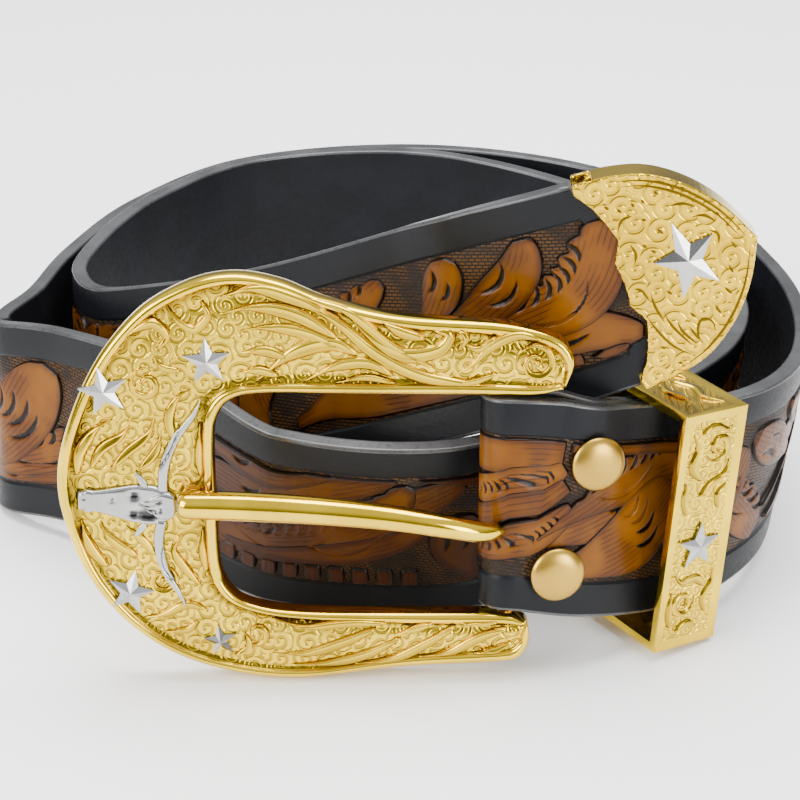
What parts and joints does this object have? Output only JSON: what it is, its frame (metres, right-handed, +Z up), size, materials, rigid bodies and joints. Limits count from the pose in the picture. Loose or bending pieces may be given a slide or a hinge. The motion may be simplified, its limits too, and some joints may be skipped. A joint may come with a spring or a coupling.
{
  "type": "western belt",
  "caption": "Rolled western belt of tooled leather with a horseshoe buckle and prong, a box keeper and a shield-shaped tip",
  "frame": {"origin": "under the centre of the bounding box, on the surface that the belt stands on", "axes": "+Z up, +X to the right of someone who faces the buckle, the buckle's face towards -Y"},
  "size_m": [0.1566, 0.1644, 0.0872],
  "materials": {
    "tooled_leather": "glossy tooled leather, dyed tan with black edges and a black inner face",
    "engraved_gold": "polished and engraved gold-coloured plate with silver-coloured figures",
    "plain_gold": "polished gold-coloured plate",
    "rivet_brass": "satin aged brass"
  },
  "bodies": {
    "belt": {"strap": "tooled_leather", "buckle_frame": "engraved_gold", "keeper": "engraved_gold", "tip": "engraved_gold", "rivet_upper": "rivet_brass", "rivet_lower": "rivet_brass"},
    "prong": {"prong": "plain_gold"}
  },
  "joints": [
    {"name": "prong_hinge", "type": "hinge", "parent": "belt", "child": "prong", "pos_m": [0.01929, -0.07118, 0.02731], "axis": [0, 0.1564, 0.9877], "range_deg": [0, 45]}
  ]
}
